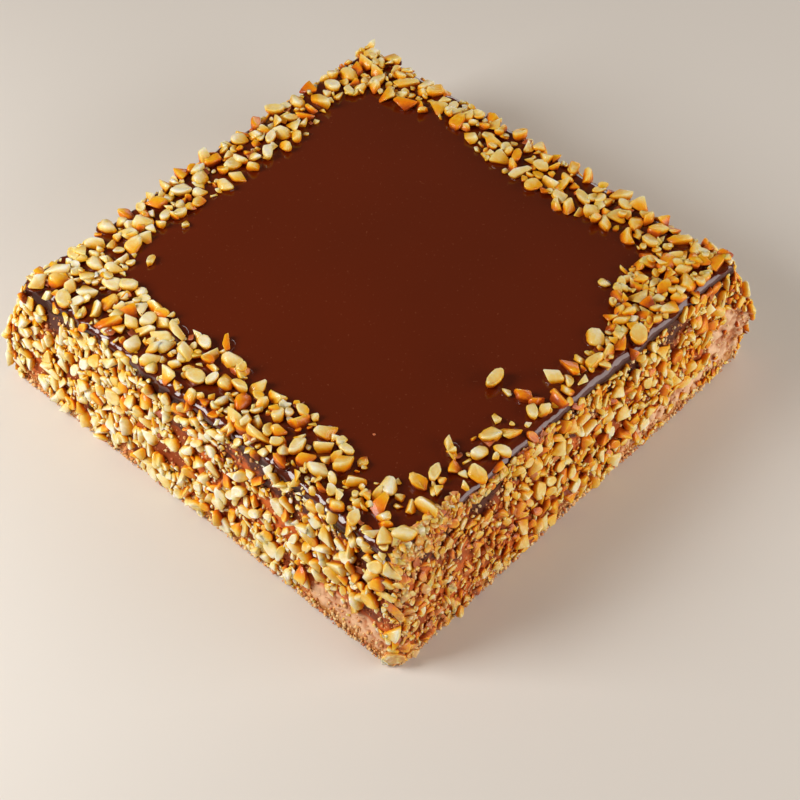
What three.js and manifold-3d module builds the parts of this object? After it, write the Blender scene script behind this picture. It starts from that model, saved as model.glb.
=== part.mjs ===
// A square fudge nut cake: a frosted cake with chopped peanuts pressed into its sides, under a poured
// fudge topping that rolls over its edge and carries a border of chopped peanuts.
// Millimetres, +Z up, origin at the middle of the base. -Y and +X are the two faces that show.

import * as THREE from "three";
import { mergeVertices } from "three/addons/utils/BufferGeometryUtils.js";
import Module from "manifold-3d";

const wasm = await Module();
wasm.setup();

// Driving dimensions of the frosted cake
const FOOT_SIDE = 245;
const SHOULDER_SIDE = 225;
const CAKE_HEIGHT = 58.1;
const CORNER_RADIUS = 6;
const FOOT_ROUND = 1.2;
const SHOULDER_ROUND = 1.2;
const OUTLINE_WAVE = 0.7;
const SIDE_BUMP = 0.6;
const BUMPY_ROWS = 3;
const BUMPY_TOP = 38;

// How far the frosting swells at each corner, from the -X-Y corner round by the front: full at one height,
// to a share of the way round on either side, with a part of it still there at the shoulder
const CORNER_BULGES = [5.2, 1.5, 7, 3];
const BULGE_REACH = 0.035;
const BULGE_HEIGHT = 28;
const BULGE_AT_SHOULDER = 0.35;

// Driving dimensions of the fudge topping
const FUDGE_THICKNESS = 3.6;
const FUDGE_GAP = 0.3;
const SKIRT_THICKNESS = 1.4;
const HEM_THICKNESS = 0.7;
const SKIRT_DROP = 1.4;
const SKIRT_WAVE = 0.8;
const LIP_RADIUS = 4.8;
const LIP_STEPS = 3;
const DRIP_COUNT = 13;
const DRIP_LENGTH = { least: 1, range: 4.5 };
const DRIP_HALF_WIDTH = 13;
const DRIP_SHIFT = 0.7;

// How far the border of nuts reaches in from the edge, at even steps along each side of the top: from
// the -X-Y corner along the front, then up the right side, along the back and down the left side.
const BORDER_WIDTHS = [
  [30, 30, 28, 31, 26, 31, 29, 24],
  [27, 21, 20, 17, 14, 18, 29, 31],
  [27, 22, 29, 26, 27, 17, 24, 26],
  [26, 20, 26, 24, 25, 22, 24, 32],
];
const BORDER_WIDEST = 32;
const BORDER_EDGE = 2.5;

// Chopped peanuts: lengths fall from the largest to the smallest of all the pieces, and the solids carry
// the first and largest of them. Width and thickness are shares of the length.
const TOP_NUTS = { seed: 11, all: 680, solid: 138, largest: 11, smallest: 2.8, fall: 1.5, tries: 10 };
const SIDE_NUTS = { seed: 23, all: 3400, solid: 160, largest: 10, smallest: 2.2, fall: 2.6, tries: 10 };
const NUT_WIDTH = { least: 0.58, range: 0.36 };
const NUT_THICKNESS = { least: 0.45, range: 0.3 };
const KERNEL_SHARE = 0.3;
const KERNEL_NARROWING = 0.8;
const SUNK_SHARE = 0.27;
const NUT_TILT = 0.5;
const NUT_ROUGHNESS = 0.2;
const CHUNK_HALF = 0.86;
const CHUNK_TAPER = 0.75;
const NUT_CLEARANCE = 0.4;

// Nuts that stand out: those that fell further in than the border, and a large one by the near corner
const STRAY_NUTS = [
  { x: 82, y: -17, length: 11.5 },
  { x: 90, y: -18, length: 5 },
  { x: 82, y: 74, length: 5.5 },
  { x: 80, y: 62, length: 6 },
  { x: -86, y: -41, length: 5 },
  { x: -18, y: -80, length: 8 },
  { x: -64, y: -86, length: 6 },
  { x: -80, y: -68, length: 6.5 },
  { x: 107, y: -87, length: 12.5 },
];

// Places on the sides that the nuts left bare, each an ellipse: side, distance along it from its first
// corner and height, then the half length and half height.
const BARE_PATCHES = [
  { side: 0, along: 208, height: 8, halfLength: 22, halfHeight: 9 },
  { side: 0, along: 152, height: 50, halfLength: 17, halfHeight: 5 },
  { side: 1, along: 226, height: 17, halfLength: 18, halfHeight: 16 },
  { side: 1, along: 180, height: 8, halfLength: 30, halfHeight: 5 },
];

// The stretch of the right side, from its near corner, that has only finely chopped nuts
const FINE_STRETCH = { side: 1, until: 85, largest: 6.5 };

// Steps round the outline, those of each half corner, and the waves of the outline and of the skirt's edge
const SEGMENTS = 96;
const HALF_CORNER_STEPS = 2;
const OUTLINE_WAVES = [
  { turns: 5, phase: 0.4, share: 0.6 },
  { turns: 9, phase: 2.2, share: 0.4 },
];
const SKIRT_WAVES = [
  { turns: 7, phase: 0.9, share: 0.6 },
  { turns: 19, phase: 2.1, share: 0.4 },
];
const DRIP_SEED = 5;
const BUMP_SEED = 7;

const FROSTING = { color: "#c99a62", roughness: 0.6, metalness: 0 };
const FUDGE = { color: "#5e2010", roughness: 0.2, metalness: 0 };

const FUDGE_BOTTOM = CAKE_HEIGHT + FUDGE_GAP;
const FUDGE_TOP = FUDGE_BOTTOM + FUDGE_THICKNESS;
const SHOULDER_HALF = SHOULDER_SIDE / 2;
const FOOT_HALF = FOOT_SIDE / 2;
const LIP_HALF = SHOULDER_HALF + FUDGE_GAP + SKIRT_THICKNESS;
const SHOULDER_HEIGHT = CAKE_HEIGHT - SHOULDER_ROUND;

// Seeded random numbers from 0 up to 1, so that every run scatters the same nuts
function randomFrom(seed) {
  let state = seed;
  return () => {
    state = (Math.imul(state, 1664525) + 1013904223) >>> 0;
    return state / 2 ** 32;
  };
}

function waveAt(waves, u) {
  return waves.reduce((sum, w) => sum + w.share * Math.sin(2 * Math.PI * w.turns * u + w.phase), 0);
}

// How far the outline swells at a height because of its nearest corner
function bulgeAt(u, z) {
  const corner = Math.round(4 * u);
  const near = THREE.MathUtils.smoothstep(1 - Math.abs(u - corner / 4) / BULGE_REACH, 0, 1);
  const rise = THREE.MathUtils.smoothstep(z, 0, BULGE_HEIGHT);
  const fall = THREE.MathUtils.smoothstep(z, BULGE_HEIGHT, SHOULDER_HEIGHT);
  return CORNER_BULGES[corner % 4] * near * rise * THREE.MathUtils.lerp(1, BULGE_AT_SHOULDER, fall);
}

// The cake's outline seen from above, at a share u of the way round and a height: a rounded square of half
// side 1, slightly wavy and swollen at its corners, as a point and its outward normal
function outlineAt(u, z) {
  const turns = 4 * (u - Math.floor(u));
  const side = Math.floor(turns);
  const along = turns - side;
  const arcShare = (4 * HALF_CORNER_STEPS) / SEGMENTS;
  const bend = CORNER_RADIUS / SHOULDER_HALF;
  const flat = 1 - bend;
  let angle = -Math.PI / 2;
  let centre = THREE.MathUtils.mapLinear(along, arcShare, 1 - arcShare, -flat, flat);
  if (along < arcShare) {
    angle -= (Math.PI / 4) * (1 - along / arcShare);
    centre = -flat;
  } else if (along > 1 - arcShare) {
    angle += (Math.PI / 4) * (1 - (1 - along) / arcShare);
    centre = flat;
  }
  const normal = new THREE.Vector2(Math.cos(angle), Math.sin(angle));
  const point = new THREE.Vector2(centre, -flat).addScaledVector(normal, bend);
  point.multiplyScalar(1 + (OUTLINE_WAVE * waveAt(OUTLINE_WAVES, u) + bulgeAt(u, z)) / SHOULDER_HALF);
  const origin = new THREE.Vector2();
  const quarter = (side * Math.PI) / 2;
  return { point: point.rotateAround(origin, quarter), normal: normal.rotateAround(origin, quarter) };
}

// Half the frosting's width at a height, down its sloping side
function frostingHalf(z) {
  return THREE.MathUtils.mapLinear(z, FOOT_ROUND, SHOULDER_HEIGHT, FOOT_HALF, SHOULDER_HALF);
}

const drips = makeDrips();

function makeDrips() {
  const random = randomFrom(DRIP_SEED);
  return Array.from({ length: DRIP_COUNT }, (_, i) => ({
    u: (i + 0.5 + DRIP_SHIFT * (random() - 0.5)) / DRIP_COUNT,
    length: DRIP_LENGTH.least + DRIP_LENGTH.range * random(),
  }));
}

// The height of the fudge's lower edge: a wavy skirt with a few longer drips
function skirtHeight(u) {
  const perimeter = 4 * SHOULDER_SIDE;
  const ran = drips.map((drip) => {
    const away = (((u - drip.u + 1.5) % 1) - 0.5) * perimeter;
    return drip.length * Math.max(0, 1 - (away / DRIP_HALF_WIDTH) ** 2);
  });
  return SHOULDER_HEIGHT - SKIRT_DROP - SKIRT_WAVE * waveAt(SKIRT_WAVES, u) - Math.max(...ran);
}

// The lowest height of the fudge's edge beside a nut
function skirtBeside(u) {
  return Math.min(...[-1, 0, 1].map((step) => skirtHeight(u + step / SEGMENTS)));
}

// How far in from the edge the border of nuts reaches, smoothed between the named widths
function borderWidth(u) {
  const widths = BORDER_WIDTHS.flat();
  const place = (u - Math.floor(u)) * widths.length - 0.5 + widths.length;
  const first = Math.floor(place);
  const blend = THREE.MathUtils.smoothstep(place - first, 0, 1);
  return THREE.MathUtils.lerp(widths[first % widths.length], widths[(first + 1) % widths.length], blend);
}

// Whether a nut of some reach would lie on one of the bare places
function isBare(side, along, z, reach) {
  return BARE_PATCHES.some((patch) => {
    const across = (along - patch.along) / (patch.halfLength + reach);
    const up = (z - patch.height) / (patch.halfHeight + reach);
    return patch.side === side && across ** 2 + up ** 2 < 1;
  });
}

// A closed form with one profile all round: a lathe whose rings are moved from circles to the outline.
// place(ring, u, step) gives the half width and height of one ring there.
function outlineLathe(rings, place) {
  const profile = rings.map(() => new THREE.Vector2(1, 0));
  const geometry = new THREE.LatheGeometry(profile, SEGMENTS);
  geometry.deleteAttribute("normal");
  geometry.deleteAttribute("uv");
  const position = geometry.getAttribute("position");
  for (let i = 0; i < position.count; i++) {
    const step = Math.floor(i / rings.length) % SEGMENTS;
    const { half, z } = place(rings[i % rings.length], step / SEGMENTS, step);
    const { point } = outlineAt(step / SEGMENTS, z);
    position.setXYZ(i, half * point.x, half * point.y, z);
  }
  return geometry;
}

// The frosted cake without its nuts: flat underneath and on top, bumpy down its sides
function frostedCore() {
  const random = randomFrom(BUMP_SEED);
  const rings = [
    { half: 0, z: 0 },
    { half: FOOT_HALF - FOOT_ROUND, z: 0 },
    { half: FOOT_HALF, z: FOOT_ROUND },
  ];
  for (let row = 1; row <= BUMPY_ROWS; row++) {
    const z = (BUMPY_TOP * row) / BUMPY_ROWS;
    const bumps = Array.from({ length: SEGMENTS }, () => SIDE_BUMP * (2 * random() - 1));
    rings.push({ half: frostingHalf(z), z, bumps });
  }
  rings.push({ half: SHOULDER_HALF, z: SHOULDER_HEIGHT });
  rings.push({ half: SHOULDER_HALF - SHOULDER_ROUND, z: CAKE_HEIGHT });
  rings.push({ half: 0, z: CAKE_HEIGHT });
  return outlineLathe(rings, (ring, u, step) => ({
    half: ring.half + (ring.bumps ? ring.bumps[step] : 0),
    z: ring.z,
  }));
}

// The poured fudge without its nuts: a slab on the frosting whose edge rolls over into a thin skirt
function fudgeCore() {
  const rings = [
    { half: 0, z: FUDGE_BOTTOM },
    { half: SHOULDER_HALF - SHOULDER_ROUND + FUDGE_GAP / 2, z: FUDGE_BOTTOM },
    { half: SHOULDER_HALF + FUDGE_GAP, z: SHOULDER_HEIGHT + FUDGE_GAP / 2 },
    { skirt: 2 * FUDGE_GAP },
    { skirt: FUDGE_GAP + HEM_THICKNESS },
  ];
  for (let step = 0; step <= LIP_STEPS; step++) {
    const angle = (Math.PI / 2) * (step / LIP_STEPS);
    rings.push({
      half: LIP_HALF - LIP_RADIUS * (1 - Math.cos(angle)),
      z: FUDGE_TOP - LIP_RADIUS * (1 - Math.sin(angle)),
    });
  }
  rings.push({ half: 0, z: FUDGE_TOP });
  return outlineLathe(rings, (ring, u) => {
    if (ring.skirt === undefined) {
      return ring;
    }
    const z = skirtHeight(u);
    return { half: frostingHalf(z) + ring.skirt, z };
  });
}

// Nuts in their places, largest first: each takes, of a few random places, the one furthest from the
// others. propose(random, length) gives one place, with its point and normal, or null.
function scatter(nuts, strays, propose) {
  const random = randomFrom(nuts.seed);
  const placed = [];
  for (let i = 0; i < nuts.solid; i++) {
    const length = nuts.smallest + (nuts.largest - nuts.smallest) * (1 - i / nuts.all) ** nuts.fall;
    let best = null;
    for (let k = 0; k < nuts.tries; k++) {
      const place = propose(random, length);
      if (place) {
        const rooms = placed.map(
          (other) => place.point.distanceTo(other.point) - (length + other.length) / 2,
        );
        place.room = Math.min(...rooms, nuts.largest);
        best = best && best.room >= place.room ? best : place;
      }
    }
    const look = {
      width: NUT_WIDTH.least + NUT_WIDTH.range * random(),
      thickness: NUT_THICKNESS.least + NUT_THICKNESS.range * random(),
      turn: 2 * Math.PI * random(),
      tilt: NUT_TILT * (random() - 0.5),
      roll: NUT_TILT * (random() - 0.5),
      kernel: random() < KERNEL_SHARE,
      seed: nuts.seed * 1000 + i,
    };
    look.width *= look.kernel ? KERNEL_NARROWING : 1;
    if (i < strays.length) {
      placed.push({ ...placeOnTop(strays[i].x, strays[i].y), ...look, length: strays[i].length });
    } else if (best) {
      placed.push({ ...best, ...look, length });
    }
  }
  return placed;
}

function placeOnTop(x, y) {
  return { point: new THREE.Vector3(x, y, FUDGE_TOP), normal: new THREE.Vector3(0, 0, 1) };
}

function proposeOnTop(random) {
  const u = random();
  const inset = THREE.MathUtils.lerp(BORDER_EDGE, BORDER_WIDEST, random());
  const { point } = outlineAt(u, FUDGE_TOP);
  const half = LIP_HALF - inset;
  return inset > borderWidth(u) ? null : placeOnTop(half * point.x, half * point.y);
}

function proposeOnSide(random, length) {
  const u = random();
  const z = random() * CAKE_HEIGHT;
  const side = Math.floor(4 * u);
  const along = (4 * u - side) * FOOT_SIDE;
  const reach = length / 2 + NUT_CLEARANCE;
  const inFineStretch = side === FINE_STRETCH.side && along < FINE_STRETCH.until;
  const tooCoarse = inFineStretch && length > FINE_STRETCH.largest;
  if (z < reach || z > skirtBeside(u) - reach || tooCoarse || isBare(side, along, z, reach / 2)) {
    return null;
  }
  const { point, normal } = outlineAt(u, z);
  const half = frostingHalf(z);
  const slope = (FOOT_HALF - SHOULDER_HALF) / SHOULDER_HEIGHT;
  return {
    point: new THREE.Vector3(half * point.x, half * point.y, z),
    normal: new THREE.Vector3(normal.x, normal.y, slope).normalize(),
  };
}

// One chopped peanut: half a kernel is a rough ball and a chunk is a rough tapered block, each partly sunk
// in the surface it lies on
function nutGeometry(nut) {
  const blank = nut.kernel
    ? new THREE.IcosahedronGeometry(1)
    : new THREE.BoxGeometry(2 * CHUNK_HALF, 2 * CHUNK_HALF, 2 * CHUNK_HALF);
  blank.deleteAttribute("normal");
  blank.deleteAttribute("uv");
  const geometry = mergeVertices(blank);
  const random = randomFrom(nut.seed);
  const position = geometry.getAttribute("position");
  for (let i = 0; i < position.count; i++) {
    const corner = new THREE.Vector3().fromBufferAttribute(position, i);
    const taper = !nut.kernel && corner.z > 0 ? CHUNK_TAPER : 1;
    corner.multiplyScalar(1 + NUT_ROUGHNESS * (2 * random() - 1));
    position.setXYZ(i, taper * corner.x, taper * corner.y, corner.z);
  }
  const half = nut.length / 2;
  geometry.scale(half, half * nut.width, half * nut.thickness);
  const upright = new THREE.Quaternion().setFromUnitVectors(new THREE.Vector3(0, 0, 1), nut.normal);
  const lie = new THREE.Quaternion().setFromEuler(new THREE.Euler(nut.tilt, nut.roll, nut.turn, "ZYX"));
  geometry.applyQuaternion(upright.multiply(lie));
  const rise = nut.length * nut.thickness * (0.5 - SUNK_SHARE);
  const centre = nut.point.clone().addScaledVector(nut.normal, rise);
  geometry.translate(centre.x, centre.y, centre.z);
  return geometry;
}

function solidOf(geometry) {
  const merged = mergeVertices(geometry);
  return new wasm.Manifold(
    new wasm.Mesh({
      numProp: 3,
      vertProperties: new Float32Array(merged.getAttribute("position").array),
      triVerts: new Uint32Array(merged.index.array),
    }),
  );
}

function geometryOf(solid) {
  const mesh = solid.getMesh();
  const geometry = new THREE.BufferGeometry();
  geometry.setAttribute("position", new THREE.BufferAttribute(mesh.vertProperties, 3));
  geometry.setIndex(new THREE.BufferAttribute(mesh.triVerts, 1));
  geometry.computeVertexNormals();
  return geometry;
}

// A food with its chopped peanuts joined on, as one named mesh
function nuttyMesh(name, core, nuts, finish) {
  const pieces = nuts.map((nut) => solidOf(nutGeometry(nut)));
  const joined = pieces.reduce((sum, piece) => sum.add(piece), solidOf(core));
  const mesh = new THREE.Mesh(geometryOf(joined), new THREE.MeshStandardMaterial(finish));
  mesh.name = name;
  return mesh;
}

const cake = new THREE.Group();
const sideNuts = scatter(SIDE_NUTS, [], proposeOnSide);
const topNuts = scatter(TOP_NUTS, STRAY_NUTS, proposeOnTop);
cake.add(nuttyMesh("frosted_cake", frostedCore(), sideNuts, FROSTING));
cake.add(nuttyMesh("fudge_topping", fudgeCore(), topNuts, FUDGE));

export default cake;
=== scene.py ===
"""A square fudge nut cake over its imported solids: cream frosting with chopped peanuts pressed into its
sides, under a poured fudge topping that carries a border of chopped peanuts."""

import cmath
import math
from dataclasses import dataclass

import bmesh
import bpy
import numpy as np
from mathutils import Euler, Matrix, Vector, noise


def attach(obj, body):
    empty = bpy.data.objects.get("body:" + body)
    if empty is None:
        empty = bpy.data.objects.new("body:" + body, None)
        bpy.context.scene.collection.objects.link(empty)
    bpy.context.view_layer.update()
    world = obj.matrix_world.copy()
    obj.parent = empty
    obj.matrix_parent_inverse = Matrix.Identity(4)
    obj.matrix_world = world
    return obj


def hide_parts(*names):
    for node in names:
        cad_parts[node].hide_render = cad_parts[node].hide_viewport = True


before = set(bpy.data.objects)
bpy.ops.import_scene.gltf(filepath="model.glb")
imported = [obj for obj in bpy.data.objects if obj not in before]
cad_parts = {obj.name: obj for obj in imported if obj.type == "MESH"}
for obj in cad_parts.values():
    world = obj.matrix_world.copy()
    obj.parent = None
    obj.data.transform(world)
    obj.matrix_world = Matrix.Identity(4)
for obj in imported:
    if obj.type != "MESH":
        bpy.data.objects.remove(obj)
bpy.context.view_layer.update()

MM = 0.001

# Driving dimensions of the frosted cake, in millimetres as in the part
FOOT_HALF = 122.5
SHOULDER_HALF = 112.5
CAKE_HEIGHT = 58.1
CORNER_RADIUS = 6
CORNER_SHARE = 1 / 12
FOOT_ROUND = 1.2
SHOULDER_ROUND = 1.2
SHOULDER_HEIGHT = CAKE_HEIGHT - SHOULDER_ROUND
SIDE_SLOPE = (FOOT_HALF - SHOULDER_HALF) / SHOULDER_HEIGHT
OUTLINE_LENGTH = 8 * SHOULDER_HALF

# The waves of its outline, each with how many go round, a phase and a share, and how far its left, near,
# right and far corners swell
OUTLINE_WAVE = 0.7
OUTLINE_WAVES = [(5, 0.4, 0.6), (9, 2.2, 0.4)]
CORNER_BULGES = (5.2, 1.5, 7, 3)
BULGE_REACH = 0.035
BULGE_HEIGHT = 28
BULGE_AT_SHOULDER = 0.35

# Driving dimensions of the fudge topping
FUDGE_THICKNESS = 3.6
FUDGE_GAP = 0.3
SKIRT_THICKNESS = 1.4
HEM_THICKNESS = 0.7
LIP_RADIUS = 4.8
FUDGE_BOTTOM = CAKE_HEIGHT + FUDGE_GAP
FUDGE_TOP = FUDGE_BOTTOM + FUDGE_THICKNESS
LIP_HALF = SHOULDER_HALF + FUDGE_GAP + SKIRT_THICKNESS

# How far its skirt drops, with waves and drips; a drip's length is a least value and a range
SKIRT_DROP = 1.4
SKIRT_WAVE = 0.8
SKIRT_WAVES = [(7, 0.9, 0.6), (19, 2.1, 0.4)]
DRIP_COUNT = 13
DRIP_LENGTH = (1, 4.5)
DRIP_HALF_WIDTH = 13
DRIP_SHIFT = 0.7
DRIP_SEED = 5

# Steps round the outline: here, and in the part, whose nuts keep clear of the skirt for a step each way
SHELL_SEGMENTS = 800
PART_SEGMENTS = 96

# How far the border of nuts reaches in, at even steps along the front, right, back and left of the top
BORDER_WIDTHS = [
    30, 30, 28, 31, 26, 31, 29, 24,
    27, 21, 20, 17, 14, 18, 29, 31,
    27, 22, 29, 26, 27, 17, 24, 26,
    26, 20, 26, 24, 25, 22, 24, 32,
]
BORDER_WIDEST = 32
BORDER_EDGE = 2.5

# Places round the cake are shares of the way round: 0 at the left corner, 0.25 at the near one, 0.5 at the
# right one. More nuts lie on the border up to the right corner, and only a share of the loose ones by the
# near corner.
FAR_BORDER = (0.39, 0.51)
SPARSE_BORDER = (0.235, 0.37)
SPARSE_SHARE = 0.2

# How thickly nuts lie on the rolled lip of the front, right, back and left sides, and how far they sag
LIP_COVER = (0.5, 0.22, 0.45, 0.45)
LIP_NUT_DROP = 2

# The stretch by the near corner where small nuts hide the lip, and the one beyond it where a share of them
# hide only the skirt, up to an angle round the lip
COVERED_LIP = (0.248, 0.302)
COVERED_SKIRT = (0.3, 0.36)
SKIRT_SHARE = 0.4
SKIRT_ANGLE = 0.5

# The stretch round the near corner with no small bits between the nuts
BITLESS_STRETCH = (0.15, 0.35)

# The stretch of the right side, from its near corner, with only finely chopped nuts: side, end, longest
FINE_STRETCH = (1, 85, 6.5)

# Ellipses of bare frosting: side, distance along it, height, half length, half height and paleness. The
# paleness reaches so many half lengths and fades over the last of them, and a noise, set apart for each
# side, gives them a ragged edge of loose nuts.
BARE_PATCHES = [
    (0, 208, 8, 22, 9, 0.7),
    (0, 152, 50, 17, 5, 0.3),
    (1, 226, 17, 18, 16, 1),
    (1, 180, 8, 30, 5, 0.9),
]
BARE_REACH = 1.4
BARE_FADE = 0.5
RAGGED_EDGE = 6
RAGGED_SIZE = 9
RAGGED_APART = 100

# Chopped peanuts: width and thickness are shares of the length, each a least value and a range
NUT_WIDTH = (0.58, 0.36)
NUT_THICKNESS = (0.45, 0.3)
NUT_TILT = 0.5
KERNEL_SHARE = 0.3
KERNEL_NARROWING = 0.8
SLIVER_WIDTH = 0.64
SUNK_SHARE = 0.27
NUT_CLEARANCE = 0.4

# Nuts that stand out, further in than the border or large by the near corner: place and length
STRAY_NUTS = [
    (82, -17, 11.5), (90, -18, 5), (82, 74, 5.5), (80, 62, 6), (-86, -41, 5),
    (-18, -80, 8), (-64, -86, 6), (-80, -68, 6.5), (107, -87, 12.5),
]

# Nuts that the solids leave out lie looser. They reach past the skirt's edge by a share of their length, on
# the front, right, back and left sides.
LOOSE_REACH = (0.25, 0.1, 0.25, 0.25)

# They keep off spots where a slow noise is low, and nearly all of them off bare frosting
THIN_SIZE = 20
THIN_FLATNESS = 1.4
THIN_APART = 80
THIN_BELOW = -0.3
LEFT_ON_BARE = 0.015

# The small ones are chunkier, all of them tilt more, and those that crowd others lie on them
SMALL_LENGTH = 6.5
SMALL_WIDTH = 0.74
LOOSE_TILT = 2
CROWDED = 0.25
LIFT_MOST = 0.6


@dataclass
class NutRule:
    """One scatter of nuts: how many, those that the solids carry, and how their lengths fall."""
    seed: int
    count: int
    solid: int
    largest: float
    smallest: float
    fall: float
    tries: int = 10
    loose_tries: int = 6


TOP_NUTS = NutRule(seed=11, count=680, solid=138, largest=11, smallest=2.8, fall=1.5)
SIDE_NUTS = NutRule(seed=23, count=3400, solid=160, largest=10, smallest=2.2, fall=2.6)
FAR_NUTS = NutRule(seed=71, count=50, solid=0, largest=7.5, smallest=2.6, fall=1.2)
SIDE_BITS = NutRule(seed=83, count=1100, solid=0, largest=4.5, smallest=2, fall=1)
LIP_NUTS = NutRule(seed=31, count=260, solid=0, largest=7.5, smallest=2.2, fall=1.5)
CORNER_NUTS = NutRule(seed=53, count=190, solid=0, largest=5.5, smallest=2, fall=1.3)
TOP_SKINS = NutRule(seed=37, count=36, solid=0, largest=5, smallest=2.5, fall=1)
SIDE_SKINS = NutRule(seed=43, count=120, solid=0, largest=5, smallest=2, fall=1)

# A nut's own seed is its rule's times this, plus its number
SEED_STEP = 1000


@dataclass
class Nut:
    """One chopped peanut where it lies."""
    point: Vector
    normal: Vector
    length: float
    width: float
    thickness: float
    turn: float
    tilt: float
    roll: float
    kernel: bool
    seed: int
    lift: float = 0


# The split sliver that stands up at the far corner of the top
STANDING_SLIVER = Nut(
    Vector((-111, 111, 62.5)), Vector((0, 0, 1)), length=10, width=0.42, thickness=0.36,
    turn=0.6, tilt=0.2, roll=-1.1, kernel=False, seed=61001,
)


def random_from(seed):
    """Seeded random numbers from 0 up to 1, the same ones that the part draws."""
    factor, step, span = 1664525, 1013904223, 2**32
    state = seed
    while True:
        state = (state * factor + step) % span
        yield state / span


def lerp(low, high, share):
    return low + (high - low) * share


def pick(draw, span):
    """A random value between two."""
    return lerp(*span, next(draw))


def from_least(rule, share):
    """A share of the way up from a rule's least value through its range."""
    least, span = rule
    return least + span * share


def within(span, value):
    return span[0] < value < span[1]


def smooth(share):
    share = min(max(share, 0), 1)
    return share * share * (3 - 2 * share)


def wave_at(waves, u):
    return sum(share * math.sin(2 * math.pi * turns * u + phase) for turns, phase, share in waves)


# The outline, and places on the cake


def bulge_at(u, z):
    """How far the outline swells at a height because of its nearest corner."""
    corner = round(4 * u)
    near = smooth(1 - abs(u - corner / 4) / BULGE_REACH)
    rise = smooth(z / BULGE_HEIGHT)
    fall = smooth((z - BULGE_HEIGHT) / (SHOULDER_HEIGHT - BULGE_HEIGHT))
    return CORNER_BULGES[corner % 4] * near * rise * lerp(1, BULGE_AT_SHOULDER, fall)


def outline_at(u, z):
    """The outline from above, a share u of the way round and at a height: a rounded square of half side 1,
    slightly wavy and swollen at its corners, as a point and its outward normal in the complex plane."""
    turns = 4 * (u % 1)
    side = int(turns)
    along = turns - side
    bend = CORNER_RADIUS / SHOULDER_HALF
    flat = 1 - bend
    angle = -math.pi / 2
    centre = lerp(-flat, flat, (along - CORNER_SHARE) / (1 - 2 * CORNER_SHARE))
    if along < CORNER_SHARE:
        angle -= math.pi / 4 * (1 - along / CORNER_SHARE)
        centre = -flat
    elif along > 1 - CORNER_SHARE:
        angle += math.pi / 4 * (1 - (1 - along) / CORNER_SHARE)
        centre = flat
    normal = cmath.rect(1, angle)
    point = complex(centre, -flat) + bend * normal
    point *= 1 + (OUTLINE_WAVE * wave_at(OUTLINE_WAVES, u) + bulge_at(u, z)) / SHOULDER_HALF
    quarter = 1j**side
    return point * quarter, normal * quarter


def side_at(u):
    """Which side a place round the cake is on, and how far along the side it is."""
    turns = 4 * (u % 1)
    side = int(turns)
    return side, (turns - side) * 2 * FOOT_HALF


def share_round(point):
    """About how far round the cake a point is, from the left corner, three eighths of a turn before +X."""
    return (math.atan2(point.y, point.x) / (2 * math.pi) + 3 / 8) % 1


def frosting_half(z):
    return lerp(FOOT_HALF, SHOULDER_HALF, (z - FOOT_ROUND) / (SHOULDER_HEIGHT - FOOT_ROUND))


def make_drips():
    draw = random_from(DRIP_SEED)
    drips = []
    for i in range(DRIP_COUNT):
        u = (i + 0.5 + DRIP_SHIFT * (next(draw) - 0.5)) / DRIP_COUNT
        drips.append((u, from_least(DRIP_LENGTH, next(draw))))
    return drips


DRIPS = make_drips()


def skirt_height(u):
    """The height of the fudge's lower edge: a wavy skirt with a few longer drips."""
    ran = 0
    for drip_u, length in DRIPS:
        away = ((u - drip_u + 1.5) % 1 - 0.5) * OUTLINE_LENGTH
        ran = max(ran, length * (1 - (away / DRIP_HALF_WIDTH) ** 2))
    return SHOULDER_HEIGHT - SKIRT_DROP - SKIRT_WAVE * wave_at(SKIRT_WAVES, u) - ran


def skirt_beside(u):
    """The lowest height of the fudge's edge beside a nut."""
    return min(skirt_height(u + step / PART_SEGMENTS) for step in (-1, 0, 1))


def border_width(u):
    count = len(BORDER_WIDTHS)
    place = (u % 1) * count - 0.5 + count
    first = math.floor(place)
    blend = smooth(place - first)
    return lerp(BORDER_WIDTHS[first % count], BORDER_WIDTHS[(first + 1) % count], blend)


def bareness(u, z):
    """How pale the frosting is in the middle of a bare patch, down to 0 from its edge on."""
    side, along = side_at(u)
    bare = 0
    for patch_side, middle, height, half_length, half_height, paleness in BARE_PATCHES:
        if side == patch_side:
            away = math.hypot((along - middle) / half_length, (z - height) / half_height)
            bare = max(bare, paleness * smooth((BARE_REACH - away) / BARE_FADE))
    return bare


def is_bare(side, along, z, reach):
    for patch_side, middle, height, half_length, half_height, _ in BARE_PATCHES:
        across = (along - middle) / (half_length + reach)
        up = (z - height) / (half_height + reach)
        if side == patch_side and across**2 + up**2 < 1:
            return True
    return False


def place_on_top(x, y):
    return Vector((x, y, FUDGE_TOP)), Vector((0, 0, 1))


def place_on_border(draw, u):
    """A random place across the border of the top, or None if it is past the border's inner edge."""
    inset = lerp(BORDER_EDGE, BORDER_WIDEST, next(draw))
    if inset > border_width(u):
        return None
    place = (LIP_HALF - inset) * outline_at(u, FUDGE_TOP)[0]
    return place_on_top(place.real, place.imag)


def place_on_side(u, z):
    point, normal = outline_at(u, z)
    point *= frosting_half(z)
    return Vector((point.real, point.imag, z)), Vector((normal.real, normal.imag, SIDE_SLOPE)).normalized()


def place_on_lip(u, angle):
    """A place round the fudge's rolled lip, from its skirt at angle 0 up to its top."""
    point, normal = outline_at(u, FUDGE_TOP)
    point *= LIP_HALF - LIP_RADIUS * (1 - math.cos(angle))
    drop = LIP_NUT_DROP * (1 - angle / (math.pi / 2))
    z = FUDGE_TOP - LIP_RADIUS * (1 - math.sin(angle)) - drop
    out = Vector((normal.real, normal.imag, 0)) * math.cos(angle) + Vector((0, 0, math.sin(angle)))
    return Vector((point.real, point.imag, z)), out


# Scatter: each propose function gives a random place for a nut of a length, loose or carried by a solid, as
# a point and its outward normal, or None


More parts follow.
